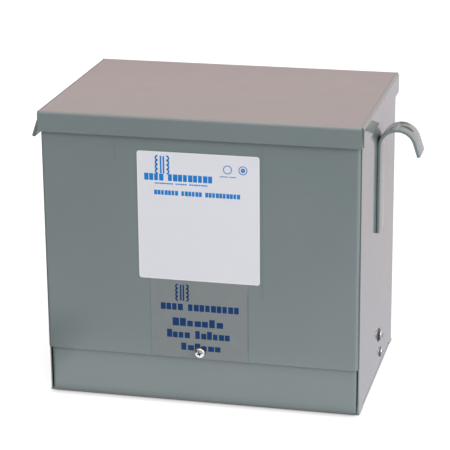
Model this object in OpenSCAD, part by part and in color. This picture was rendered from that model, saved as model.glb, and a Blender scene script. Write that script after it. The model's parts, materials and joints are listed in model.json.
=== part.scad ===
// Encapsulated drive isolation transformer in a ventless sheet-steel case.
// Origin: middle of the bottom, +Z up. The cover faces -Y, the lifting hooks are on -X and +X.

/* [Case] */
// Width between the outer faces of the two side panels
body_w = 376; // [320:1:440]
// Depth from the cover's face to the rear face
body_d = 257.4; // [220:0.1:300]
// Height from the floor to the top of the lid
body_h = 350; // [300:1:400]
// Thickness of the sheet steel
sheet_t = 1.5; // [1.2:0.1:2]
// Outside radius of the sheet bends
bend_r = 4; // [2.8:0.1:5]
// Depth of the inward returns at the rear and at the bottom of the side panels
side_return = 18; // [14:1:24]
// Gap left between sheet pieces that slip into each other
slip_gap = 0.3; // [0.2:0.05:0.5]

/* [Lid] */
// Height of the lid's flanges
lid_flange_h = 24.2; // [16:0.1:32]
// Gap between the lid's side flanges and the side panels
lid_side_gap = 1.55; // [1.2:0.05:3]
// Gap between the lid's front flange and the cover
lid_front_gap = 3.7; // [3:0.1:6]
// Gap between the lid's rear flange and the rear of the case
lid_rear_gap = 4.9; // [1:0.1:7]
// How far the ends of the front and rear flanges stop short of the side flanges' outer faces
lid_corner_step = 1.6; // [0.8:0.1:2.5]
// Radius of the bend relief hole at each lid corner
relief_r = 1.1; // [0.8:0.1:2]
// Distance of the relief holes' centres from the faces of the flanges
relief_inset = 1.9; // [1.4:0.1:4]

/* [Front] */
// Height of the lower front panel that shows below the cover
lower_h = 57.25; // [40:0.25:90]
// How far the lower front panel's face lies behind the cover's face
cover_step = 3.8; // [3:0.1:6]
// How much narrower the cover is than the case, on each side
cover_inset = 0.6; // [0:0.1:1]
// How far the cover and all that is on it sit left of the middle
cover_shift = 0.65; // [0:0.05:1]
// Depth of the cover's side returns
cover_return = 4.9; // [4.5:0.1:8]
// Gap between the cover's top edge and the lid
cover_top_gap = 6; // [3:0.5:12]
// Gap between each end of the lower front panel and the side panel beside it
lower_end_gap = 1; // [0.5:0.1:4]
// Depth of the lower front panel's side returns
lower_side_return = 12; // [8:1:16]
// Depth of the lower front panel's bottom return
lower_bottom_return = 26; // [20:1:32]
// Height of the joggled tongue behind the cover
tongue_h = 26; // [20:1:40]
// Radius of the relief hole in each bottom corner of the lower front panel
corner_hole_r = 0.8; // [0.5:0.1:1.2]

/* [Labels] */
// Width of the white label
label_w = 144.2; // [100:0.1:180]
// Height of the white label
label_h = 154.4; // [100:0.1:180]
// Width of the lower decal
decal_w = 117; // [80:1:160]
// Height of the lower decal, from the cover's bottom edge up to the white label
decal_h = 96.8; // [70:0.1:120]
// Thickness of the label and the decal
film_t = 0.3; // [0.2:0.05:0.5]
// Corner radius of the white label
label_corner_r = 3; // [1:0.5:6]
// How far the lower decal sits left of the cover's middle
decal_shift = 0.4; // [0:0.1:3]

/* [Lifting hooks] */
// Width of the hook strap
hook_w = 37.6; // [25:0.1:50]
// Thickness of the hook strap
hook_t = 3.8; // [3:0.1:5]
// Outside radius of the hook's curl
hook_r = 23.2; // [18:0.1:28]
// Angle that the strap turns through
hook_turn = 162; // [140:1:175]
// Length of the straight tail after the curl
hook_tail = 17.1; // [10:0.1:30]
// Length of the straight stem
hook_stem = 105.7; // [60:0.1:140]
// Gap between the lid's bottom edge and the crown of the hook
hook_lid_gap = 8.2; // [6:0.1:30]
// Distance of the strap's centre line behind the cover's face
hook_depth = 133.3; // [100:0.1:170]

/* [Base and core] */
// Height of the base pan's flanges
pan_flange_h = 28; // [24:1:36]
// Height of the wiring space at the lower front
wiring_h = 120; // [90:1:160]
// Depth of the wiring space behind the cover's face
wiring_d = 95; // [70:1:130]
// Depth of the air space between the cover's face and the potted core
front_air = 30; // [22:1:50]
// Air space between the potted core and the lid
top_air = 20; // [10:1:40]
// Gap between each core bracket and the base pan's flange below it
bracket_gap = 2.5; // [1:0.5:6]
// Diameter of the base knockouts
knockout_d = 28.2; // [22:0.1:44]
// Distance of each knockout from the side of the base pan
knockout_inset = 66; // [46:1:100]

/* [Screws] */
// Diameter of the screw shanks
screw_d = 6.3; // [4.8:0.1:8]
// Diameter of the screw heads
head_d = 12.5; // [10:0.1:15]
// Height of the screw heads
head_h = 3.6; // [3:0.1:6]
// Diameter of the upper side screws' washers
washer_d = 17; // [14:0.5:20]
// Thickness of the washers
washer_t = 1.2; // [0.8:0.1:2]
// How far the cover screw's washer reaches past the head
washer_rim = 0.75; // [0.25:0.25:1.5]
// Height of the cover screw above the cover's bottom edge
cover_screw_up = 7.75; // [7.75:0.25:20]
// Depth of the upper side screws behind the cover's face
side_screw_upper_y = 151; // [100:1:200]
// Height of the upper side screws above the base pan's flange
side_screw_upper_up = 15.5; // [10:0.5:25]
// Depth of the lower side screws behind the cover's face
side_screw_lower_y = 165.5; // [100:0.5:200]
// How far the lower side screws lie below the top of the base pan's flange
side_screw_lower_down = 12.5; // [9:0.5:14]

/* [Hidden] */
$fn = 64;

enamel = [0.47, 0.51, 0.51];
zinc = [0.78, 0.80, 0.80];

inner_r = bend_r - sheet_t;
cut = 1; // extra length of a cutting tool past the faces that it opens
curl_steps = 40; // straight steps round the hook's curl

// Places across the depth
lid_front_step = lid_front_gap + sheet_t;
lid_rear_step = lid_rear_gap + sheet_t;
lid_d = body_d + lid_front_step + lid_rear_step;
lid_w = body_w + 2 * (lid_side_gap + sheet_t);
y_cover = -lid_d / 2 + lid_front_step;
y_rear = y_cover + body_d;
y_lower = y_cover + cover_step;
y_side_front = y_cover + cover_return + slip_gap;
y_back_inner = y_rear - 2 * sheet_t;

// Places across the width and the height
x_side = body_w / 2;
x_inner = x_side - sheet_t;
z_under_lid = body_h - sheet_t;
cover_w = body_w - 2 * cover_inset;
lower_w = body_w - 2 * (sheet_t + lower_end_gap);
z_pan = sheet_t;
z_pan_top = z_pan + sheet_t;
z_flange_top = z_pan + pan_flange_h;
y_pan_front = y_lower + lower_side_return + slip_gap;
pan_w = 2 * (x_inner - slip_gap);
y_tongue = y_cover + sheet_t + slip_gap;
tongue_z0 = lower_h;
tongue_z1 = tongue_z0 + y_lower - y_tongue;
cover_screw_z = lower_h + cover_screw_up;
label_z = lower_h + decal_h;
hook_z1 = body_h - lid_flange_h - hook_lid_gap - hook_r;
hook_z0 = hook_z1 - hook_stem;
knockout_x = pan_w / 2 - knockout_inset;
y_bottom0 = y_lower + lower_bottom_return + slip_gap;
y_bottom1 = y_back_inner - side_return;
y_knockout = y_cover + (wiring_d + lower_bottom_return) / 2;

// Screws: [depth behind the cover's face, height] of the side screws, and what the cover screw clamps
upper_pos = [side_screw_upper_y, z_flange_top + side_screw_upper_up];
lower_pos = [side_screw_lower_y, z_flange_top - side_screw_lower_down];
nut_t = 5;
nut_d = 1.9 * screw_d;
thread_end = 2; // how far a shank reaches past its nut
recess_l = head_d / 2; // length, width and depth of the cross recess
recess_w = 0.1 * head_d;
recess_depth = 0.55 * head_h;
cover_grip = film_t + washer_t + sheet_t + slip_gap + sheet_t;
pan_grip = sheet_t + slip_gap + sheet_t;
bracket_t = 6;
bracket_w = 60;
bracket_h = 2 * (side_screw_upper_up - bracket_gap);

// ---- sheet metal profiles ----

// A rectangle with rounded corners.
module round_box_2d(size, r) {
    translate([r, 0]) square([size[0] - 2 * r, size[1]]);
    translate([0, r]) square([size[0], size[1] - 2 * r]);
    for (x = [r, size[0] - r], y = [r, size[1] - r])
        translate([x, y]) circle(r);
}

// An L of sheet with its outer corner at the origin: one leg runs along +X, the other along +Y.
module bend_2d(leg_x, leg_y) {
    if (leg_x > bend_r) translate([bend_r, 0]) square([leg_x - bend_r, sheet_t]);
    if (leg_y > bend_r) translate([0, bend_r]) square([sheet_t, leg_y - bend_r]);
    translate([bend_r, bend_r]) intersection() {
        difference() {
            circle(bend_r);
            circle(inner_r);
        }
        translate([-bend_r, -bend_r]) square(bend_r);
    }
}

// ---- lid ----

// A flange with its bend along +Y, length l, outer face at x = 0, top face at z = 0.
module lid_flange(l) {
    rotate([-90, 0, 0]) linear_extrude(l) bend_2d(bend_r, lid_flange_h);
}

module lid() {
    color(enamel) difference() {
        union() {
            translate([-lid_w / 2 + bend_r, -lid_d / 2 + bend_r, body_h - sheet_t])
                cube([lid_w - 2 * bend_r, lid_d - 2 * bend_r, sheet_t]);
            // side flanges start behind the front bend and stop before the rear one
            for (side = [0, 1]) mirror([side, 0, 0])
                translate([-lid_w / 2, -lid_d / 2 + bend_r, body_h])
                    lid_flange(lid_d - 2 * bend_r);
            // front and rear flanges reach past the side bends, up to the corner step
            for (end = [0, 1]) mirror([0, end, 0])
                translate([lid_w / 2 - lid_corner_step, -lid_d / 2, body_h])
                    rotate([0, 0, 90]) lid_flange(lid_w - 2 * lid_corner_step);
        }
        for (x = [-1, 1], y = [-1, 1])
            translate([x * (lid_w / 2 - relief_inset), y * (lid_d / 2 - relief_inset), body_h - bend_r - cut])
                cylinder(h = bend_r + 2 * cut, r = relief_r);
    }
}

// ---- side panels ----

// The left panel: a wall with a plain front edge, and its rear and bottom returns.
module side_panel() {
    difference() {
        union() {
            difference() {
                linear_extrude(z_under_lid) {
                    translate([-x_side, y_side_front]) square([sheet_t, y_rear - bend_r - y_side_front]);
                    translate([-x_side, y_rear]) mirror([0, 1]) bend_2d(side_return, bend_r);
                }
                translate([-x_side - cut, y_bottom0, -cut])
                    cube([sheet_t + 2 * cut, y_bottom1 - y_bottom0, bend_r + cut]);
            }
            translate([-x_side, y_bottom1, 0]) rotate([90, 0, 0])
                linear_extrude(y_bottom1 - y_bottom0) bend_2d(side_return, bend_r);
        }
        for (p = [upper_pos, lower_pos])
            translate([-x_side - cut, y_cover + p[0], p[1]]) rotate([0, 90, 0])
                cylinder(h = sheet_t + 2 * cut, d = screw_d + slip_gap);
    }
}
module left_side_panel() { color(enamel) side_panel(); }
module right_side_panel() { color(enamel) mirror([1, 0, 0]) side_panel(); }

// ---- back, base and front ----

module back_panel() {
    back_w = body_w - 2 * (bend_r + slip_gap);
    color(enamel) {
        translate([-back_w / 2, y_rear - sheet_t, 0]) rotate([90, 0, 90])
            linear_extrude(back_w) mirror([1, 0]) bend_2d(side_return, z_under_lid);
    }
}

module base_pan() {
    pan_d = y_back_inner - slip_gap - y_pan_front;
    color(enamel) difference() {
        union() {
            translate([-pan_w / 2 + bend_r, y_pan_front, z_pan])
                cube([pan_w - 2 * bend_r, pan_d - bend_r, sheet_t]);
            for (side = [0, 1]) mirror([side, 0, 0])
                translate([-pan_w / 2, y_pan_front + pan_d - bend_r, z_pan]) rotate([90, 0, 0])
                    linear_extrude(pan_d - bend_r) bend_2d(bend_r + sheet_t, pan_flange_h);
            translate([-pan_w / 2 + bend_r, y_pan_front + pan_d, z_pan]) rotate([90, 0, 90])
                linear_extrude(pan_w - 2 * bend_r) mirror([1, 0]) bend_2d(bend_r + sheet_t, pan_flange_h);
        }
        for (x = [-1, 1]) {
            translate([x * knockout_x, y_knockout, z_pan - cut])
                cylinder(h = sheet_t + 2 * cut, d = knockout_d + 2 * slip_gap);
            translate([x * pan_w / 2, y_cover + lower_pos[0], lower_pos[1]]) rotate([0, 90, 0])
                cylinder(h = 4 * sheet_t, d = screw_d + slip_gap, center = true);
        }
    }
}
module front_cover() {
    color(enamel) translate([-cover_shift, y_cover, lower_h]) difference() {
        linear_extrude(z_under_lid - cover_top_gap - lower_h)
            for (side = [0, 1]) mirror([side, 0])
                translate([-cover_w / 2, 0]) bend_2d(cover_w / 2, cover_return);
        translate([0, sheet_t / 2, cover_screw_up]) rotate([90, 0, 0])
            cylinder(h = sheet_t + 2 * cut, d = screw_d + slip_gap, center = true);
    }
}

// A block of the lower front panel's corner, its side and bottom edges rounded by r.
module corner_block(r) {
    intersection() {
        linear_extrude(bend_r) translate([bend_r, bend_r]) circle(r);
        rotate([90, 0, 90]) linear_extrude(bend_r) translate([bend_r, bend_r]) circle(r);
    }
}

// The mitred corner where the side bend meets the bottom bend, with its relief hole.
module mitred_corner() {
    difference() {
        intersection() {
            corner_block(bend_r);
            cube(bend_r);
        }
        corner_block(inner_r);
        translate([corner_hole_r, -cut, 2 * corner_hole_r]) rotate([-90, 0, 0])
            cylinder(h = bend_r + 2 * cut, r = corner_hole_r);
    }
}

// Face, side and bottom returns, mitred corners, and a tongue that joggles forward behind the cover.
module lower_front_panel() {
    face_w = lower_w - 2 * bend_r;
    color(enamel) difference() {
        union() {
            translate([-face_w / 2, 0, 0]) rotate([90, 0, 90]) linear_extrude(face_w) {
                translate([y_lower, 0]) bend_2d(lower_bottom_return, tongue_z0);
                polygon([
                    [y_lower, tongue_z0], [y_lower + sheet_t, tongue_z0],
                    [y_tongue + sheet_t, tongue_z1], [y_tongue + sheet_t, tongue_z1 + tongue_h],
                    [y_tongue, tongue_z1 + tongue_h], [y_tongue, tongue_z1]
                ]);
            }
            for (side = [0, 1]) mirror([side, 0, 0]) translate([-lower_w / 2, y_lower, 0]) {
                mitred_corner();
                translate([0, 0, bend_r]) linear_extrude(tongue_z0 - bend_r)
                    bend_2d(bend_r, lower_side_return);
                translate([0, bend_r, 0]) cube([sheet_t, lower_side_return - bend_r, bend_r]);
            }
        }
        translate([-cover_shift, y_tongue + sheet_t / 2, cover_screw_z]) rotate([90, 0, 0])
            cylinder(h = sheet_t + 2 * cut, d = screw_d + slip_gap, center = true);
    }
}

// ---- lifting hooks ----

// A point of the curl in the hook's side view: x from the side panel's face, y up.
function curl_point(r, a) = [hook_r + r * cos(a), hook_z1 + r * sin(a)];

// Side view of the right hook: a stem, a curl and a straight tail of one bent strap.
module hook_2d() {
    end_a = 180 - hook_turn;
    inside_r = hook_r - hook_t;
    tail = hook_tail * [cos(end_a - 90), sin(end_a - 90)];
    polygon(concat(
        [[0, hook_z0]],
        [for (i = [0 : curl_steps]) curl_point(hook_r, 180 - i * hook_turn / curl_steps)],
        [curl_point(hook_r, end_a) + tail, curl_point(inside_r, end_a) + tail],
        [for (i = [curl_steps : -1 : 0]) curl_point(inside_r, 180 - i * hook_turn / curl_steps)],
        [[hook_t, hook_z0]]
    ));
}
module lifting_hook() {
    translate([x_side, y_cover + hook_depth + hook_w / 2, 0]) rotate([90, 0, 0])
        linear_extrude(hook_w) hook_2d();
}
module left_lifting_hook() { color(enamel) mirror([1, 0, 0]) lifting_hook(); }
module right_lifting_hook() { color(enamel) lifting_hook(); }

// ---- labels ----

module nameplate_label() {
    color([0.87, 0.87, 0.89])
        translate([-label_w / 2 - cover_shift, y_cover, label_z]) rotate([90, 0, 0])
            linear_extrude(film_t) round_box_2d([label_w, label_h], label_corner_r);
}
module lower_decal() {
    color([0.50, 0.53, 0.55]) difference() {
        translate([-decal_w / 2 - cover_shift - decal_shift, y_cover - film_t, lower_h])
            cube([decal_w, film_t, label_z - lower_h]);
        translate([-cover_shift, y_cover, cover_screw_z]) rotate([90, 0, 0])
            cylinder(h = 4 * film_t, d = screw_d + slip_gap, center = true);
    }
}

// ---- screws ----

// A domed cross-recess screw. The head's seat is at z = 0, the head is above, the shank hangs below.
module pan_screw(shank) {
    dome_r = (pow(head_d / 2, 2) + pow(head_h, 2)) / (2 * head_h);
    color(zinc) difference() {
        union() {
            rotate_extrude() intersection() {
                translate([0, head_h - dome_r]) circle(dome_r);
                square([head_d / 2, head_h]);
            }
            translate([0, 0, -shank]) cylinder(h = shank, d = screw_d);
        }
        for (a = [0, 90]) rotate(a)
            translate([-recess_l / 2, -recess_w / 2, head_h - recess_depth])
                cube([recess_l, recess_w, recess_depth + cut]);
    }
}
module washer(d) {
    color(zinc) difference() {
        cylinder(h = washer_t, d = d);
        translate([0, 0, -cut]) cylinder(h = washer_t + 2 * cut, d = screw_d + slip_gap);
    }
}
// Puts a piece made along +Z on the cover, pointing out of it.
module on_cover(out) {
    translate([-cover_shift, y_cover - out, cover_screw_z]) rotate([90, 0, 0]) children();
}
// Puts a piece made along +Z on the left side panel, pointing out of it.
module on_left_side(p, out) {
    translate([-x_side - out, y_cover + p[0], p[1]]) rotate([0, -90, 0]) children();
}

module cover_screw() { on_cover(film_t + washer_t) pan_screw(cover_grip + nut_t + thread_end); }
module cover_screw_washer() { on_cover(film_t) washer(head_d + 2 * washer_rim); }
module cover_screw_nut() { on_cover(film_t + washer_t - cover_grip - nut_t) nut(); }
module nut() {
    color(zinc) difference() {
        cylinder(h = nut_t, d = nut_d, $fn = 6);
        translate([0, 0, -cut]) cylinder(h = nut_t + 2 * cut, d = screw_d);
    }
}
module left_upper_screw() { on_left_side(upper_pos, washer_t) pan_screw(washer_t + sheet_t + bracket_t); }
module right_upper_screw() { mirror([1, 0, 0]) left_upper_screw(); }
module left_upper_washer() { on_left_side(upper_pos, 0) washer(washer_d); }
module right_upper_washer() { mirror([1, 0, 0]) left_upper_washer(); }
module left_lower_screw() { on_left_side(lower_pos, 0) pan_screw(pan_grip + nut_t + thread_end); }
module right_lower_screw() { mirror([1, 0, 0]) left_lower_screw(); }
module left_lower_nut() { on_left_side(lower_pos, -pan_grip - nut_t) nut(); }
module right_lower_nut() { mirror([1, 0, 0]) left_lower_nut(); }

// ---- inside ----

module left_core_bracket() {
    color([0.35, 0.35, 0.36]) difference() {
        translate([-x_inner, y_cover + upper_pos[0] - bracket_w / 2, upper_pos[1] - bracket_h / 2])
            cube([bracket_t, bracket_w, bracket_h]);
        on_left_side(upper_pos, 0) cylinder(h = 4 * bracket_t, d = screw_d, center = true);
    }
}
module right_core_bracket() { mirror([1, 0, 0]) left_core_bracket(); }

module potted_core() {
    y_up = y_cover + front_air;
    y_low = y_cover + wiring_d;
    pocket_l = sheet_t + pan_grip + nut_t + thread_end;
    lower_x = x_inner - slip_gap - sheet_t;
    lower_y1 = y_back_inner - slip_gap - sheet_t;
    color([0.22, 0.21, 0.20]) difference() {
        union() {
            translate([-x_inner, y_up, wiring_h]) linear_extrude(z_under_lid - top_air - wiring_h)
                round_box_2d([2 * x_inner, y_back_inner - y_up], bend_r);
            translate([-x_inner, y_low, z_flange_top]) linear_extrude(wiring_h - z_flange_top)
                round_box_2d([2 * x_inner, y_back_inner - y_low], bend_r);
            translate([-lower_x + inner_r, y_low, z_pan_top])
                cube([2 * (lower_x - inner_r), lower_y1 - inner_r - y_low, z_flange_top - z_pan_top]);
        }
        for (side = [0, 1]) mirror([side, 0, 0]) {
            translate([-x_inner - cut, y_cover + upper_pos[0] - bracket_w / 2, upper_pos[1] - bracket_h / 2])
                cube([bracket_t + cut, bracket_w, bracket_h]);
            on_left_side(lower_pos, 0) cylinder(h = 2 * pocket_l, d = nut_d + 4 * slip_gap, center = true);
        }
    }
}

module knockout(x) {
    color(enamel) translate([x, y_knockout, z_pan]) cylinder(h = sheet_t, d = knockout_d);
}
module left_knockout() { knockout(-knockout_x); }
module right_knockout() { knockout(knockout_x); }

lid();
left_side_panel();
right_side_panel();
back_panel();
front_cover();
lower_front_panel();
base_pan();
left_lifting_hook();
right_lifting_hook();
nameplate_label();
lower_decal();
cover_screw();
cover_screw_washer();
cover_screw_nut();
left_upper_screw();
right_upper_screw();
left_upper_washer();
right_upper_washer();
left_lower_screw();
right_lower_screw();
left_lower_nut();
right_lower_nut();
left_core_bracket();
right_core_bracket();
potted_core();
left_knockout();
right_knockout();
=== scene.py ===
"""The looks of the isolation transformer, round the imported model.

Gray enamel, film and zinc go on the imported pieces. The hooks and screws get rounder pieces of their own,
and the label and the decal get generic marks.
"""
import json
import math

import bmesh
import bpy
from mathutils import Matrix, Vector


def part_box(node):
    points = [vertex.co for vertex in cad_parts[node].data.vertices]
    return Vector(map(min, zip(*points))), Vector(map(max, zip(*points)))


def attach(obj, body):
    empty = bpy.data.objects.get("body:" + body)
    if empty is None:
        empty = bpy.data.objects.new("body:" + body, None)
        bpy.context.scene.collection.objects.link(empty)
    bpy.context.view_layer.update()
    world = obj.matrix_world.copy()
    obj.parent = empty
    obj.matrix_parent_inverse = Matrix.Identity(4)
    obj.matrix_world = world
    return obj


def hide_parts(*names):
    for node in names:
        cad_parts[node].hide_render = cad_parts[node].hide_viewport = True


MM = 0.001

# sizes of the detail pieces, in millimetres and degrees
HEAD_R = 6.25
HEAD_H = 3.6
HEAD_SIDE = 0.85  # height of the head's side, below its dome
HEAD_EDGE = 0.15  # chamfer under the head
DOME_OUT = 0.62  # powers that shape the dome: 1 and 1 make an ellipse
DOME_UP = 1.15
SHANK_R = 3.15
SHANK_CHAMFER = 0.6
RECESS_ABOVE = 1.0  # how far the recess cutter stands above the head
RECESS_DEPTH = 2.3
RECESS_TOP = (3.3, 0.85)  # half length and half width of the cross's arms at the cutter's top
RECESS_BOTTOM = (1.5, 0.5)
HOOK_T = 3.8
HOOK_R = 23.2
HOOK_TURN = 162.0
HOOK_TAIL = 17.1
HOOK_EDGE = 0.7
FILM_T = 0.3
INK_T = 0.04

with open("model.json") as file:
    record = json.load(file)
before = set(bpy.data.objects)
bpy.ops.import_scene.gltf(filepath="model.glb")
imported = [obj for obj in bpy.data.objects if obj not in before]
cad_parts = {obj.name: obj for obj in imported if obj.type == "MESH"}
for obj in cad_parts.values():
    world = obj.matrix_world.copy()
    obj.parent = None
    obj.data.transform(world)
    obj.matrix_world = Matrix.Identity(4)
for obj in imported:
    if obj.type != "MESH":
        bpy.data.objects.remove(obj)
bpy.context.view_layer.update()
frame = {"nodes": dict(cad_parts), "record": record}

# ---------------------------------------------------------------- camera

# place in metres, turns in degrees
CAMERA_PLACE = (0.5259, -2.1960, 0.9233)
CAMERA_YAW = 13.475
CAMERA_PITCH = -18.187
CAMERA_ROLL = -0.512
LENS_MM = 155.95


def make_camera():
    data = bpy.data.cameras.new("camera")
    data.sensor_width = 36.0
    data.lens = LENS_MM
    data.clip_start = 0.05
    data.clip_end = 50.0
    cam = bpy.data.objects.new("camera", data)
    bpy.context.scene.collection.objects.link(cam)
    turn = (
        Matrix.Rotation(math.radians(CAMERA_YAW), 4, "Z")
        @ Matrix.Rotation(math.radians(90 + CAMERA_PITCH), 4, "X")
        @ Matrix.Rotation(math.radians(CAMERA_ROLL), 4, "Z")
    )
    cam.matrix_world = Matrix.Translation(CAMERA_PLACE) @ turn
    bpy.context.scene.camera = cam


# ---------------------------------------------------------------- node helpers


AO_SAMPLES = 16
NOISE = (0.3, 0.7)  # most of a noise's values lie between these


class Nodes:
    """A small wrapper that makes and links shader nodes."""

    def __init__(self, tree):
        self.tree = tree
        tree.nodes.clear()

    def add(self, kind, **settings):
        node = self.tree.nodes.new(kind)
        for name, value in settings.items():
            setattr(node, name, value)
        return node

    def link(self, out, socket):
        self.tree.links.new(out, socket)

    def math(self, operation, a, b=None):
        node = self.add("ShaderNodeMath", operation=operation)
        for index, value in enumerate((a, b)):
            if value is None:
                continue
            if isinstance(value, (int, float)):
                node.inputs[index].default_value = value
            else:
                self.link(value, node.inputs[index])
        return node.outputs[0]

    def noise(self, coords, scale, detail=3.0, roughness=0.5):
        node = self.add("ShaderNodeTexNoise")
        node.inputs["Scale"].default_value = scale
        node.inputs["Detail"].default_value = detail
        node.inputs["Roughness"].default_value = roughness
        self.link(coords, node.inputs["Vector"])
        return node.outputs["Fac"]

    def ramp(self, fac, stops):
        node = self.add("ShaderNodeValToRGB")
        elements = node.color_ramp.elements
        while len(elements) < len(stops):
            elements.new(0.5)
        for element, (place, colour) in zip(elements, stops):
            element.position = place
            element.color = (*colour, 1.0)
        self.link(fac, node.inputs["Fac"])
        return node.outputs["Color"]

    def span(self, value, low, high, to_low=0.0, to_high=1.0):
        node = self.add("ShaderNodeMapRange")
        node.inputs["From Min"].default_value = low
        node.inputs["From Max"].default_value = high
        node.inputs["To Min"].default_value = to_low
        node.inputs["To Max"].default_value = to_high
        self.link(value, node.inputs["Value"])
        return node.outputs["Result"]

    def mix(self, fac, a, b):
        node = self.add("ShaderNodeMix", data_type="RGBA")
        for socket, value in ((node.inputs[0], fac), (node.inputs[6], a), (node.inputs[7], b)):
            if isinstance(value, (int, float)):
                socket.default_value = value
            elif isinstance(value, tuple):
                socket.default_value = (*value, 1.0)
            else:
                self.link(value, socket)
        return node.outputs[2]

    def tones(self, noise, dark, light):
        return self.ramp(noise, list(zip(NOISE, (dark, light))))

    def object_coords(self):
        return self.add("ShaderNodeTexCoord").outputs["Object"]

    def diffuse(self, colour):
        node = self.add("ShaderNodeBsdfDiffuse")
        node.inputs["Color"].default_value = (*colour, 1.0)
        return node.outputs[0]

    def split(self, vector):
        node = self.add("ShaderNodeSeparateXYZ")
        self.link(vector, node.inputs[0])
        return node.outputs

    def glow(self, colour, strength):
        node = self.add("ShaderNodeEmission")
        node.inputs["Strength"].default_value = strength
        self.link(colour, node.inputs["Color"])
        return node.outputs[0]

    def scaled(self, colour, k):
        part = self.mix(1.0, (k, k, k), colour)
        part.node.blend_type = "MULTIPLY"
        return part

    def near(self, reach, power):
        """One in the open, less where something stands within reach: the factor for painted shade."""
        node = self.add("ShaderNodeAmbientOcclusion")
        node.samples = AO_SAMPLES
        if isinstance(reach, float):
            node.inputs["Distance"].default_value = reach
        else:
            self.link(reach, node.inputs["Distance"])
        return self.math("POWER", node.outputs["AO"], power)

    def gray(self, value):
        node = self.add("ShaderNodeCombineXYZ")
        for socket in node.inputs:
            self.link(value, socket)
        return node.outputs[0]

    def times(self, colour, value):
        part = self.mix(1.0, colour, self.gray(value))
        part.node.blend_type = "MULTIPLY"
        return part

    def lit(self, shade, full, colour):
        """A matt surface that reaches full colour in light of strength full, and darkens in less."""
        soft = self.diffuse((shade, shade, shade))
        self.link(self.scaled(colour, shade), soft.node.inputs["Color"])
        both = self.add("ShaderNodeAddShader")
        self.link(soft, both.inputs[0])
        self.link(self.glow(colour, 1.0 - shade * full), both.inputs[1])
        return both.outputs[0]

    def choose(self, fac, a, b):
        node = self.add("ShaderNodeMixShader")
        self.link(fac, node.inputs[0])
        self.link(a, node.inputs[1])
        self.link(b, node.inputs[2])
        return node.outputs[0]

    def bump(self, height, strength, distance):
        node = self.add("ShaderNodeBump")
        node.inputs["Strength"].default_value = strength
        node.inputs["Distance"].default_value = distance
        self.link(height, node.inputs["Height"])
        return node.outputs["Normal"]


def material(name):
    made = bpy.data.materials.new(name)
    made.use_nodes = True
    nodes = Nodes(made.node_tree)
    shader = nodes.add("ShaderNodeBsdfPrincipled")
    out = nodes.add("ShaderNodeOutputMaterial")
    nodes.link(shader.outputs["BSDF"], out.inputs["Surface"])
    return made, nodes, shader


# ---------------------------------------------------------------- light and floor

# each lamp: place, side length, power, colour
AIM = (0, 0, 0.2)
KEY = ((0.5, -2.7, 2.6), 1.8, 35.0, (1.0, 1.0, 1.0))
SIDE = ((2.4, -0.9, 1.2), 1.2, 22.0, (1.0, 1.0, 1.0))
TOP = ((0.2, 0.2, 2.6), 2.0, 16.0, (1.0, 0.91, 0.87))

# the studio round the object, which lights it and shows in its gloss: its colours, and then where one turns
# into the next, as parts of a unit direction
ROOM_LEFT = (0.04, 0.04, 0.04)
ROOM_RIGHT = (0.80, 0.80, 0.82)
BACK_EDGE = (0.42, 0.30, 0.22)
BACK_WARM = (0.925, 0.675, 0.65)
BACK_PLAIN = (0.80, 0.66, 0.61)
BACK_LOW = (0.12, 0.09, 0.07)
CEILING = (1.45, 1.17, 0.98)
ROOM_TURNS_X = (-0.9, 0.4)
EDGE_ENDS_X = (-0.112, -0.124)
WARM_ENDS_X = (-0.09, -0.05)
LOW_STARTS_Z = (0.24, 0.16)
LOW_STARTS_X = (0.1, 0.0)
BACK_ENDS_Z = (0.36, 0.46)
BACK_STARTS_Y = (0.3, 0.75)
CEILING_STARTS_Z = (0.46, 0.56)

# the floor: white to the eye, with the object's shadow and a painted contact shadow along its foot
FLOOR_HALF = 12.0
FLOOR_BOUNCE = (0.8, 0.8, 0.8)
FLOOR_SHADE = 0.5
FLOOR_FULL = 0.5
# the painted contact shadow on the floor: its reach in front and at the sides, and how dark it gets
CONTACT_REACH_FRONT = 0.014
CONTACT_REACH_SIDES = 0.003
CONTACT_POWER = 1.5
CONTACT_TURNS_Y = (-0.134, -0.124)

# the floor as shiny pieces see it: brightness or colour along y, in front on the left and right, and beside
FLOOR_GLOW = 1.5
FLOOR_LEFT = [(-1.1, 0.22), (-0.66, 0.37), (-0.34, 0.54), (-0.27, 0.76), (-0.21, 1.04)]
FLOOR_RIGHT = [(-1.1, 0.27), (-0.69, 0.42), (-0.33, 0.66), (-0.27, 0.78), (-0.21, 0.92)]
FLOOR_BESIDE = [
    (-0.13, (0.455, 0.428, 0.455)),
    (0.1, (0.455, 0.428, 0.455)),
    (0.6, (0.468, 0.418, 0.430)),
    (0.95, (0.457, 0.411, 0.422)),
    (1.2, (0.482, 0.428, 0.455)),
    (1.6, (0.500, 0.442, 0.478)),
]
FRONT_TURNS_X = (-0.1, 0.2)
BESIDE_STARTS_Y = (-0.15, -0.13)
FLOOR_DARK = (0.03, 0.05, 0.07)
DARK_STARTS_X = (0.33, 0.36)
DARK_ENDS_X = (0.70, 0.80)
DARK_STARTS_Y = (-0.04, -0.01)
DARK_ENDS_Y = (0.34, 0.28)
FLOOR_BROWN = (0.035, 0.030, 0.024)
BROWN_STARTS_X = (-0.19, -0.24)
BROWN_STARTS_Y = (-0.42, -0.32)


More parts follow.
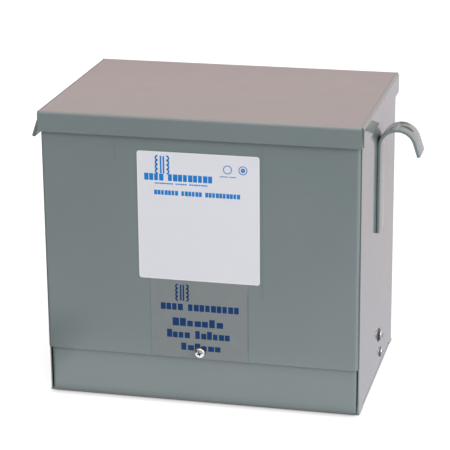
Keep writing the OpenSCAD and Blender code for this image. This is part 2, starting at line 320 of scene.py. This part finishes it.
def make_world():
    """A studio: dark on the left, pale on the right, warm low at the rear, and white to the camera."""
    world = bpy.data.worlds.new("studio")
    bpy.context.scene.world = world
    world.use_nodes = True
    nodes = Nodes(world.node_tree)
    coords = nodes.add("ShaderNodeTexCoord").outputs["Generated"]
    x, y, z = nodes.split(coords)
    room = nodes.mix(nodes.span(x, *ROOM_TURNS_X), ROOM_LEFT, ROOM_RIGHT)
    back = nodes.mix(nodes.span(x, *EDGE_ENDS_X), BACK_EDGE, BACK_WARM)
    back = nodes.mix(nodes.span(x, *WARM_ENDS_X), back, BACK_PLAIN)
    under = nodes.math("MULTIPLY", nodes.span(z, *LOW_STARTS_Z), nodes.span(x, *LOW_STARTS_X))
    back = nodes.mix(under, back, BACK_LOW)
    behind = nodes.math("MULTIPLY", nodes.span(z, *BACK_ENDS_Z, 1.0, 0.0), nodes.span(y, *BACK_STARTS_Y))
    room = nodes.mix(behind, room, back)
    path = nodes.add("ShaderNodeLightPath")
    above = nodes.math("MULTIPLY", nodes.span(z, *CEILING_STARTS_Z), path.outputs["Is Glossy Ray"])
    room = nodes.mix(above, room, CEILING)
    light = nodes.add("ShaderNodeBackground")
    nodes.link(room, light.inputs["Color"])
    white = nodes.add("ShaderNodeBackground")
    white.inputs["Color"].default_value = (1, 1, 1, 1)
    mixed = nodes.add("ShaderNodeMixShader")
    nodes.link(path.outputs["Is Camera Ray"], mixed.inputs[0])
    nodes.link(light.outputs[0], mixed.inputs[1])
    nodes.link(white.outputs[0], mixed.inputs[2])
    out = nodes.add("ShaderNodeOutputWorld")
    nodes.link(mixed.outputs[0], out.inputs["Surface"])


def make_area(name, lamp_facts, mirrored=False):
    """A square lamp aimed at the object; mirrored says that it shows in gloss."""
    place, size, power, colour = lamp_facts
    data = bpy.data.lights.new(name, "AREA")
    data.shape = "SQUARE"
    data.size = size
    data.energy = power
    data.color = colour
    lamp = bpy.data.objects.new(name, data)
    lamp.location = place
    lamp.visible_glossy = mirrored
    lamp.rotation_mode = "QUATERNION"
    lamp.rotation_quaternion = (Vector(AIM) - Vector(place)).to_track_quat("-Z", "Y")
    bpy.context.scene.collection.objects.link(lamp)


def along(nodes, value, stops):
    """A colour that follows value through stops of (place, colour or gray)."""
    low, high = stops[0][0], stops[-1][0]
    places = [((place - low) / (high - low), colour) for place, colour in stops]
    return nodes.ramp(nodes.span(value, low, high), [(place, as_colour(c)) for place, c in places])


def as_colour(colour):
    """A number stands for a slightly cool gray."""
    return colour if isinstance(colour, tuple) else (0.97 * colour, colour, 1.01 * colour)


def mirrored_floor(nodes):
    """The floor in gloss, by place on it: bright close in front, dark at far left and in a strip at right."""
    x, y = nodes.split(nodes.add("ShaderNodeNewGeometry").outputs["Position"])[:2]
    left_front, right_front = along(nodes, y, FLOOR_LEFT), along(nodes, y, FLOOR_RIGHT)
    front = nodes.mix(nodes.span(x, *FRONT_TURNS_X), left_front, right_front)
    tint = nodes.mix(nodes.span(y, *BESIDE_STARTS_Y), front, along(nodes, y, FLOOR_BESIDE))
    across = nodes.math("MULTIPLY", nodes.span(x, *DARK_STARTS_X), nodes.span(x, *DARK_ENDS_X, 1.0, 0.0))
    reach = nodes.math("MULTIPLY", nodes.span(y, *DARK_ENDS_Y), nodes.span(y, *DARK_STARTS_Y))
    tint = nodes.mix(nodes.math("MULTIPLY", across, reach), tint, FLOOR_DARK)
    left = nodes.math("MULTIPLY", nodes.span(x, *BROWN_STARTS_X), nodes.span(y, *BROWN_STARTS_Y))
    return nodes.mix(left, tint, FLOOR_BROWN)


def make_floor():
    mesh = bpy.data.meshes.new("floor")
    h = FLOOR_HALF
    mesh.from_pydata([(-h, -h, 0), (h, -h, 0), (h, h, 0), (-h, h, 0)], [], [(0, 1, 2, 3)])
    floor = bpy.data.objects.new("floor", mesh)
    bpy.context.scene.collection.objects.link(floor)
    made = bpy.data.materials.new("floor_white")
    made.use_nodes = True
    nodes = Nodes(made.node_tree)
    path = nodes.add("ShaderNodeLightPath")
    plain = nodes.diffuse(FLOOR_BOUNCE)
    y = nodes.split(nodes.add("ShaderNodeNewGeometry").outputs["Position"])[1]
    # painted contact shadow: the floor's colour to the camera darkens with nearness to the object
    reach = nodes.span(y, *CONTACT_TURNS_Y, CONTACT_REACH_FRONT, CONTACT_REACH_SIDES)
    shaded = nodes.lit(FLOOR_SHADE, FLOOR_FULL, nodes.gray(nodes.near(reach, CONTACT_POWER)))
    mirrored = nodes.glow(mirrored_floor(nodes), FLOOR_GLOW)
    mirror = nodes.math("MAXIMUM", path.outputs["Is Glossy Ray"], path.outputs["Is Transmission Ray"])
    mixed = nodes.choose(mirror, plain, mirrored)
    mixed = nodes.choose(path.outputs["Is Camera Ray"], mixed, shaded)
    out = nodes.add("ShaderNodeOutputMaterial")
    nodes.link(mixed, out.inputs["Surface"])
    mesh.materials.append(made)


def make_stage():
    make_world()
    make_area("key", KEY)
    make_area("side", SIDE, mirrored=True)
    make_area("top", TOP, mirrored=True)
    make_floor()
    bpy.context.scene.view_settings.view_transform = "Standard"


# ---------------------------------------------------------------- materials

ENAMEL_DARK = (0.170, 0.210, 0.213)
ENAMEL_LIGHT = (0.180, 0.220, 0.223)
ENAMEL_ROUGH = (0.14, 0.18)
ENAMEL_COAT = 0.6
HOOK_PAINTED_LIFT = 1.06  # how much paler the right hook's enamel is: painted light on the lit right side
# painted shade in the enamel: how near another surface must stand, and how strongly it darkens the colour
SEAM_SHADE_REACH = 0.003
SEAM_SHADE_POWER = 0.8
ZINC_DARK = (0.50, 0.53, 0.55)
ZINC_LIGHT = (0.72, 0.74, 0.75)
ZINC_ROUGH = (0.12, 0.22)
# painted shade in the zinc: how near the recess walls must stand, and how strongly they darken the colour
RECESS_SHADE_REACH = 0.003
RECESS_SHADE_POWER = 3.5
WEAR_TURN = 25.0
WEAR_HALF_TURN = 21.0
WEAR_HALF_WIDTH = 0.0048
WEAR_FRONT = 0.0015
WEAR_KEPT = 0.25  # share of the enamel's colour and coat that is left in the middle of the mark
WEAR_ROUGH = 0.4


def make_enamel(name, lift=1.0, worn=None):
    """Gray-green gloss enamel, sprayed: orange-peel skin, slow changes of tone, and painted shade in the
    seams.
    """
    made, nodes, shader = material(name)
    coords = nodes.object_coords()
    tone = nodes.noise(coords, 9.0, 4.0, 0.55)
    # a lift above one makes the enamel paler, as painted light
    dark, light = (tuple(lift * c for c in colour) for colour in (ENAMEL_DARK, ENAMEL_LIGHT))
    colour = nodes.tones(tone, dark, light)
    # painted shade: the colour darkens in seams and gaps and just above the floor, where other surfaces stand
    # close
    colour = nodes.times(colour, nodes.near(SEAM_SHADE_REACH, SEAM_SHADE_POWER))
    wipe = nodes.noise(coords, 35.0, 3.0, 0.6)
    rough = nodes.span(wipe, *NOISE, *ENAMEL_ROUGH)
    shader.inputs["Coat Weight"].default_value = ENAMEL_COAT
    if worn:
        kept = worn(nodes, coords)
        colour = nodes.times(colour, kept)
        rough = nodes.math("ADD", rough, nodes.span(kept, WEAR_KEPT, 1.0, WEAR_ROUGH, 0.0))
        nodes.link(nodes.math("MULTIPLY", kept, ENAMEL_COAT), shader.inputs["Coat Weight"])
    nodes.link(colour, shader.inputs["Base Color"])
    nodes.link(rough, shader.inputs["Roughness"])
    shader.inputs["IOR"].default_value = 1.5
    shader.inputs["Coat Roughness"].default_value = 0.03
    shader.inputs["Coat IOR"].default_value = 1.5
    peel = nodes.noise(coords, 240.0, 2.0, 0.5)
    nodes.link(nodes.bump(peel, 0.025, 0.0002), shader.inputs["Normal"])
    return made


def hook_wear(nodes, coords):
    """How much enamel is kept: less in a rub mark where a sling has sat on the right hook's curl."""
    low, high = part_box("right_lifting_hook")
    middle = (low[0] + HOOK_R * MM, high[2] - HOOK_R * MM)
    wear_y = (low[1] + high[1]) / 2 - WEAR_FRONT
    x, y, z = nodes.split(coords)
    out = nodes.math("SUBTRACT", x, middle[0])
    up = nodes.math("SUBTRACT", z, middle[1])
    turn = nodes.math("ARCTAN2", out, up)
    past = nodes.math("SUBTRACT", turn, math.radians(WEAR_TURN))
    along_curl = nodes.math("DIVIDE", past, math.radians(WEAR_HALF_TURN))
    across = nodes.math("DIVIDE", nodes.math("SUBTRACT", y, wear_y), WEAR_HALF_WIDTH)
    ragged = nodes.span(nodes.noise(coords, 260.0, 3.0, 0.6), *NOISE, -0.35, 0.35)
    size = nodes.math("ADD", nodes.math("POWER", along_curl, 2.0), nodes.math("POWER", across, 2.0))
    spot = nodes.span(nodes.math("ADD", size, ragged), 0.7, 1.3, WEAR_KEPT, 1.0)
    outer = nodes.math("GREATER_THAN", nodes.math("ADD", turn, 1.2), 0.0)
    return nodes.math("MAXIMUM", spot, nodes.math("SUBTRACT", 1.0, outer))


def make_zinc():
    """Bright zinc plate, with painted shade down in the recesses."""
    made, nodes, shader = material("bright_zinc")
    coords = nodes.object_coords()
    tone = nodes.noise(coords, 400.0, 3.0, 0.6)
    colour = nodes.tones(tone, ZINC_DARK, ZINC_LIGHT)
    # painted shade: the plate's colour darkens where the recess walls stand close
    colour = nodes.times(colour, nodes.near(RECESS_SHADE_REACH, RECESS_SHADE_POWER))
    nodes.link(colour, shader.inputs["Base Color"])
    shader.inputs["Metallic"].default_value = 1.0
    nodes.link(nodes.span(tone, *NOISE, *ZINC_ROUGH), shader.inputs["Roughness"])
    return made


def make_film(name, dark, light, roughness, metallic=0.0, shine=0.5):
    """A smooth surface with a fine grain and a tone between dark and light."""
    made, nodes, shader = material(name)
    coords = nodes.object_coords()
    tone = nodes.noise(coords, 60.0, 3.0, 0.5)
    nodes.link(nodes.tones(tone, dark, light), shader.inputs["Base Color"])
    shader.inputs["Metallic"].default_value = metallic
    shader.inputs["Specular IOR Level"].default_value = shine
    fine = nodes.noise(coords, 900.0, 2.0, 0.5)
    rough = nodes.span(fine, *NOISE, roughness - 0.04, roughness + 0.04)
    nodes.link(rough, shader.inputs["Roughness"])
    nodes.link(nodes.bump(fine, 0.1, 0.0001), shader.inputs["Normal"])
    return made


def make_plain(name, colour, roughness, metallic=0.0, shine=0.5):
    dark, light = tuple(0.9 * c for c in colour), tuple(1.1 * c for c in colour)
    return make_film(name, dark, light, roughness, metallic, shine)


def make_materials():
    return {
        "enamel": make_enamel("gray_enamel"),
        # the right hook's enamel: paler as painted light, and with a rub mark
        "hook_enamel": make_enamel("hook_enamel", HOOK_PAINTED_LIFT, hook_wear),
        "zinc": make_zinc(),
        "white_label": make_film("label_film", (0.73, 0.74, 0.785), (0.74, 0.75, 0.795), 0.38),
        # a paler white for a band along the label's edge: a painted highlight
        "label_rim_highlight": make_film("label_rim_highlight", (0.79, 0.80, 0.84), (0.80, 0.81, 0.85), 0.38),
        "edge_line": make_film("edge_line", (0.105, 0.135, 0.138), (0.12, 0.15, 0.153), 0.3),
        "metallic_decal": make_film("decal_film", (0.205, 0.228, 0.232), (0.215, 0.238, 0.242), 0.35),
        "core_steel": make_plain("core_steel", (0.3, 0.3, 0.31), 0.4, 1.0),
        "potting": make_plain("potting", (0.05, 0.045, 0.04), 0.6),
        "blue_ink": make_plain("blue_ink", (0.004, 0.20, 0.58), 0.4, shine=0.3),
        "navy_ink": make_plain("navy_ink", (0.003, 0.040, 0.145), 0.4, shine=0.2),
    }


def paint_nodes(materials):
    slots = {s["node"]: s["material_slot"] for s in frame["record"]["subparts"]}
    for name, obj in frame["nodes"].items():
        obj.data.materials.clear()
        obj.data.materials.append(materials[slots[name]])


# ---------------------------------------------------------------- detail pieces


def mesh_of(bm, name):
    """A mesh of what was built, with its faces turned outward; frees the builder."""
    bmesh.ops.recalc_face_normals(bm, faces=bm.faces)
    mesh = bpy.data.meshes.new(name)
    bm.to_mesh(mesh)
    bm.free()
    return mesh


def bridge(bm, a, b):
    """Faces between two loops of as many points."""
    for i in range(len(a)):
        j = (i + 1) % len(a)
        bm.faces.new((a[i], a[j], b[j], b[i]))


def add_piece(name, mesh, mat):
    """Puts a smooth-shaded piece in the scene, on the part's one body."""
    for face in mesh.polygons:
        face.use_smooth = True
    mesh.materials.clear()
    mesh.materials.append(mat)
    obj = bpy.data.objects.new(name, mesh)
    bpy.context.scene.collection.objects.link(obj)
    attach(obj, "root")
    return obj


def sharpen(mesh, degrees=35.0):
    """Marks the edges that turn more than the given angle as sharp."""
    bm = bmesh.new()
    bm.from_mesh(mesh)
    for edge in bm.edges:
        if len(edge.link_faces) == 2:
            edge.smooth = edge.calc_face_angle(0.0) < math.radians(degrees)
    bm.to_mesh(mesh)
    bm.free()


def rounded_section(width, height, r, steps=4):
    """Points round a rectangle with rounded corners, centred on zero."""
    points = []
    for cx, cy, start in ((1, 1, 0), (-1, 1, 90), (-1, -1, 180), (1, -1, 270)):
        for i in range(steps + 1):
            a = math.radians(start + 90.0 * i / steps)
            x = cx * (width / 2 - r) + r * math.cos(a)
            y = cy * (height / 2 - r) + r * math.sin(a)
            points.append((x, y))
    return points


def hook_path():
    """The strap's centre line from the front, as (out, up, turn) with the curl's centre at (HOOK_R, 0)."""
    mid_r = HOOK_R - HOOK_T / 2
    steps = 48
    path = []
    for i in range(steps + 1):
        turn = HOOK_TURN * i / steps
        a = math.radians(180.0 - turn)
        path.append((HOOK_R + mid_r * math.cos(a), mid_r * math.sin(a), turn))
    out, up, turn = path[-1]
    way = math.radians(90.0 - turn)
    for share in (0.5, 0.96, 1.0):
        reach = HOOK_TAIL * share
        path.append((out + reach * math.cos(way), up + reach * math.sin(way), turn))
    return path


def make_hook(node, side, mat):
    """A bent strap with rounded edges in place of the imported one; side is 1 at right and -1 at left."""
    low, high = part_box(node)
    y_mid = (low[1] + high[1]) / 2
    z_mid = high[2] - HOOK_R * MM
    x_seat = low[0] if side > 0 else high[0]
    stem = (z_mid - low[2]) / MM
    path = [(HOOK_T / 2, -stem * share, 0.0) for share in (1.0, 0.98, 0.5)] + hook_path()
    section = rounded_section((high[1] - low[1]) / MM, HOOK_T, HOOK_EDGE)
    bm = bmesh.new()
    rings = []
    for out, up, turn in path:
        t = math.radians(turn)
        ring = []
        for across, thick in section:
            # the strap's outer side points away from the curl's centre
            p = Vector((out - thick * math.cos(t), across, up + thick * math.sin(t))) * MM
            ring.append(bm.verts.new((x_seat + side * p.x, y_mid + p.y, z_mid + p.z)))
        rings.append(ring)
    for a, b in zip(rings, rings[1:]):
        bridge(bm, a, b)
    bm.faces.new(rings[0])
    bm.faces.new(rings[-1])
    mesh = mesh_of(bm, node + "_strap")
    sharpen(mesh)
    piece = add_piece(node + "_strap", mesh, mat)
    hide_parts(node)


def turned_mesh(name, profile, segments=64):
    """A closed solid turned round +Z from (radius, height) points that start and end on the axis."""
    bm = bmesh.new()
    rings = []
    for r, h in profile:
        if r == 0.0:
            rings.append([bm.verts.new((0, 0, h * MM))])
        else:
            rings.append([
                bm.verts.new((r * MM * math.cos(a), r * MM * math.sin(a), h * MM))
                for a in (math.tau * i / segments for i in range(segments))
            ])
    for low, high in zip(rings, rings[1:]):
        if len(low) == len(high):
            bridge(bm, low, high)
            continue
        for i in range(segments):
            j = (i + 1) % segments
            if len(low) == 1:
                bm.faces.new((low[0], high[j], high[i]))
            else:
                bm.faces.new((low[i], low[j], high[0]))
    return mesh_of(bm, name)


def cross_cutter():
    """A tapered cross, wide at the top, that cuts the screws' recess."""
    bm = bmesh.new()
    rings = []
    for z, (half, wide) in ((HEAD_H + RECESS_ABOVE, RECESS_TOP), (HEAD_H - RECESS_DEPTH, RECESS_BOTTOM)):
        ring = []
        for quarter in range(4):
            turn = Matrix.Rotation(math.radians(90 * quarter), 3, "Z")
            for corner in ((half, -wide, z), (half, wide, z), (wide, wide, z)):
                ring.append(bm.verts.new(turn @ (Vector(corner) * MM)))
        rings.append(ring)
    top, bottom = rings
    bm.faces.new(top)
    bm.faces.new(bottom)
    bridge(bm, top, bottom)
    return mesh_of(bm, "cutter")


def carve(mesh, cutter_mesh, name):
    """The mesh with the cutter's shape taken out of it."""
    body = bpy.data.objects.new(name, mesh)
    cutter = bpy.data.objects.new(name + "_cutter", cutter_mesh)
    for obj in (body, cutter):
        bpy.context.scene.collection.objects.link(obj)
    cut = body.modifiers.new("cut", "BOOLEAN")
    cut.operation = "DIFFERENCE"
    cut.solver = "EXACT"
    cut.use_self = True
    cut.object = cutter
    bpy.context.view_layer.update()
    made = bpy.data.meshes.new_from_object(body.evaluated_get(bpy.context.evaluated_depsgraph_get()))
    for obj in (body, cutter):
        bpy.data.objects.remove(obj)
    return made


def make_screw(node, out, shank, roll, mat):
    """A pan head with a cross recess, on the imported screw's axis; the head points in the direction out."""
    low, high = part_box(node)
    axis = max(range(3), key=lambda i: abs(out[i]))
    seat = [(low[i] + high[i]) / 2 for i in range(3)]
    tip = high[axis] if out[axis] > 0 else low[axis]
    seat[axis] = tip - out[axis] * HEAD_H * MM
    profile = [
        (0.0, -shank),
        (SHANK_R - SHANK_CHAMFER, -shank),
        (SHANK_R, -shank + SHANK_CHAMFER),
        (SHANK_R, 0.0),
        (HEAD_R - HEAD_EDGE, 0.0),
        (HEAD_R, HEAD_EDGE),
    ]
    steps = 9
    for i in range(steps + 1):
        a = math.radians(90.0 * i / steps)
        dome = HEAD_SIDE + (HEAD_H - HEAD_SIDE) * math.sin(a) ** DOME_UP
        profile.append((HEAD_R * math.cos(a) ** DOME_OUT, dome))
    profile[-1] = (0.0, HEAD_H)
    mesh = carve(turned_mesh(node + "_turned", profile), cross_cutter(), node)
    aim = Vector(out).to_track_quat("Z", "Y").to_matrix().to_4x4()
    mesh.transform(Matrix.Translation(seat) @ aim @ Matrix.Rotation(math.radians(roll), 4, "Z"))
    sharpen(mesh, 30.0)
    piece = add_piece(node + "_detail", mesh, mat)
    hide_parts(node)


def add_bar(bm, x0, z0, x1, z1, y, r):
    """A thin flat printed bar that faces -Y, with corners of radius r mm; the rest in metres."""
    r = min(r * MM, (x1 - x0) / 2, (z1 - z0) / 2)
    front, back = [], []
    for px, pz in rounded_section(x1 - x0, z1 - z0, r, 3):
        x, z = (x0 + x1) / 2 + px, (z0 + z1) / 2 + pz
        front.append(bm.verts.new((x, y - INK_T * MM, z)))
        back.append(bm.verts.new((x, y, z)))
    bm.faces.new(front)
    bm.faces.new(back)
    bridge(bm, front, back)


def add_ring(bm, x, z, r_out, r_in, y, start=0.0, end=360.0, steps=40):
    """A thin flat printed ring or arc, on a film whose face is at y."""
    closed = end - start >= 360.0
    face = y - INK_T * MM
    section = ((r_out, y), (r_out, face), (r_in, face), (r_in, y))
    rows = []
    for i in range(steps if closed else steps + 1):
        a = math.radians(start + (end - start) * i / steps)
        c, s = math.cos(a), math.sin(a)
        rows.append([bm.verts.new((x + r * c, depth, z + r * s)) for r, depth in section])
    after = rows[1:] + rows[:1] if closed else rows[1:]
    for a, b in zip(rows, after):
        for k in range(4):
            m = (k + 1) % 4
            bm.faces.new((a[k], b[k], b[m], a[m]))
    if not closed:
        bm.faces.new(rows[0])
        bm.faces.new(rows[-1])


def add_winding_symbol(bm, x, z, size, y):
    """The common drawing symbol of a transformer: two rows of turns with two core lines between them."""
    turns = 4
    half_line = size * 0.095 / 2
    r = size / (2 * turns)
    for side in (-1, 1):
        row_x = x + side * (size * 0.22 + r * 0.2)
        start = 90.0 if side < 0 else -90.0
        for i in range(turns):
            turn_z = z - size / 2 + r * (2 * i + 1)
            # a degree short at each end, so that one turn doesn't share an edge with the next
            add_ring(bm, row_x, turn_z, r + half_line, r - half_line, y, start + 1.0, start + 179.0, 16)
        core_x = x + side * size * 0.08
        add_bar(bm, core_x - half_line, z - size / 2, core_x + half_line, z + size / 2, y, 0.3)


def finish_marks(bm, name, mat):
    mesh = mesh_of(bm, name)
    sharpen(mesh)
    return add_piece(name, mesh, mat)


WORD_GAP = 0.8  # in letters
LETTER_WIDTHS = (0.76, 0.88, 0.82)  # shares of the pitch
LOW_LETTER = 0.72


def add_words(bm, x0, z0, width, height, words, y, capitals=True):
    """Blocks that stand for a line of print, one per letter; words gives the letters in each, sizes in mm."""
    pitch = width / (sum(words) + WORD_GAP * (len(words) - 1))
    x = x0
    for count in words:
        for i in range(count):
            tall = 1.0 if capitals or i == 0 or (i * 5 + count) % 4 == 0 else LOW_LETTER
            wide = pitch * LETTER_WIDTHS[(i + count) % 3]
            add_bar(bm, x, z0, x + wide * MM, z0 + tall * height * MM, y, 0.06 * height)
            x += pitch * MM
        x += WORD_GAP * pitch * MM


def add_frame(bm, low, high, y, wide, r):
    """A thin flat rounded frame of the given width, just inside the box from low to high in x and z."""
    x, z = (low[0] + high[0]) / 2, (low[2] + high[2]) / 2
    w, h = (high[0] - low[0]) / MM, (high[2] - low[2]) / MM
    outer = rounded_section(w, h, r, 8)
    inner = rounded_section(w - 2 * wide, h - 2 * wide, r - wide, 8)
    face = y - INK_T * MM
    loops = [
        [bm.verts.new((x + px * MM, depth, z + pz * MM)) for px, pz in loop]
        for loop, depth in ((outer, y), (outer, face), (inner, face), (inner, y))
    ]
    for a, b in zip(loops, loops[1:] + loops[:1]):
        bridge(bm, a, b)


# Lines of print, in mm from the film's top left corner: right, down, width, height, letters in each word
LABEL_LINES = [
    (8.5, 34.5, 81.5, 8.2, (4, 9)),
    (21, 38.6, 63, 1.5, (8, 5, 8)),
    (20, 51.5, 102.0, 5.6, (7, 6, 10)),
]
LABEL_NOTE = (98, 26.3, 19.0, 1.2, (6, 5))
DECAL_TITLE = (12, 37.5, 95.0, 8.2, (4, 9))
DECAL_LINES = [
    (26, 57.0, 62.0, 10.0, (7,)),
    (19, 72.0, 77.0, 10.0, (4, 6)),
    (36, 87.0, 49.0, 9.0, (6,)),
]
SYMBOL_DOWN = 15.5
RINGS_DOWN = 17.2
# the painted highlight along the label's edge: its width and corner radius, in mm
RIM_WIDTH = 1.3
RIM_CORNER = 3.0
EDGE_CORNER = 0.2


def film_corner(node):
    """The left, top and front of a film, in metres."""
    low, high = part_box(node)
    return low[0], high[2], low[1]


def add_line(bm, corner, line, capitals=True):
    left, top, y = corner
    right, down, width, height, words = line
    add_words(bm, left + right * MM, top - down * MM, width, height, words, y, capitals)


def make_label_marks(mats):
    corner = left, top, y = film_corner("nameplate_label")
    bm = bmesh.new()
    add_winding_symbol(bm, left + 30 * MM, top - SYMBOL_DOWN * MM, 21 * MM, y)
    for line in LABEL_LINES:
        add_line(bm, corner, line)
    for right, r_out, r_in in ((107, 5.2, 4.2), (125, 5.2, 4.2), (125, 2.6, 0.6)):
        add_ring(bm, left + right * MM, top - RINGS_DOWN * MM, r_out * MM, r_in * MM, y)
    add_line(bm, corner, LABEL_NOTE)
    finish_marks(bm, "label_marks", mats["blue_ink"])


# a band of paler film just inside the label's edge, as a painted highlight
def make_label_rim(mats):
    low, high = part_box("nameplate_label")
    bm = bmesh.new()
    add_frame(bm, low, high, low[1], RIM_WIDTH, RIM_CORNER)
    finish_marks(bm, "label_rim_highlight", mats["label_rim_highlight"])


def make_decal_marks(mats):
    corner = left, top, y = film_corner("lower_decal")
    bm = bmesh.new()
    add_winding_symbol(bm, left + 38 * MM, top - SYMBOL_DOWN * MM, 20 * MM, y)
    add_line(bm, corner, DECAL_TITLE)
    for line in DECAL_LINES:
        add_line(bm, corner, line, capitals=False)
    finish_marks(bm, "decal_marks", mats["navy_ink"])


def make_film_edges(mats):
    """Thin lines along the edge of a clear film: at the decal's right, right of the label, and above it."""
    low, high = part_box("lower_decal")
    y = low[1]
    bm = bmesh.new()
    add_bar(bm, high[0] - 0.7 * MM, low[2] + 14 * MM, high[0] - 0.1 * MM, high[2] - 12 * MM, y, EDGE_CORNER)
    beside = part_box("nameplate_label")[1][0] + 2.6 * MM
    for x, z0, z1 in ((beside, 136 * MM, 319 * MM), (-99.3 * MM, 296 * MM, 319 * MM)):
        add_bar(bm, x, z0, x + 0.5 * MM, z1, y + FILM_T * MM, EDGE_CORNER)
    finish_marks(bm, "film_edges", mats["edge_line"])


make_camera()
make_stage()
MATERIALS = make_materials()
paint_nodes(MATERIALS)
make_hook("right_lifting_hook", 1, MATERIALS["hook_enamel"])
make_hook("left_lifting_hook", -1, MATERIALS["enamel"])
# each screw: direction of the head, shank length in mm, roll of the recess in degrees
for screw, out, shank, roll in (
    ("cover_screw", (0, -1, 0), 11.8, 20.0),
    ("right_upper_screw", (1, 0, 0), 8.7, 35.0),
    ("left_upper_screw", (-1, 0, 0), 8.7, 15.0),
    ("right_lower_screw", (1, 0, 0), 10.3, 60.0),
    ("left_lower_screw", (-1, 0, 0), 10.3, 80.0),
):
    make_screw(screw, out, shank, roll, MATERIALS["zinc"])
make_label_marks(MATERIALS)
make_label_rim(MATERIALS)
make_decal_marks(MATERIALS)
make_film_edges(MATERIALS)
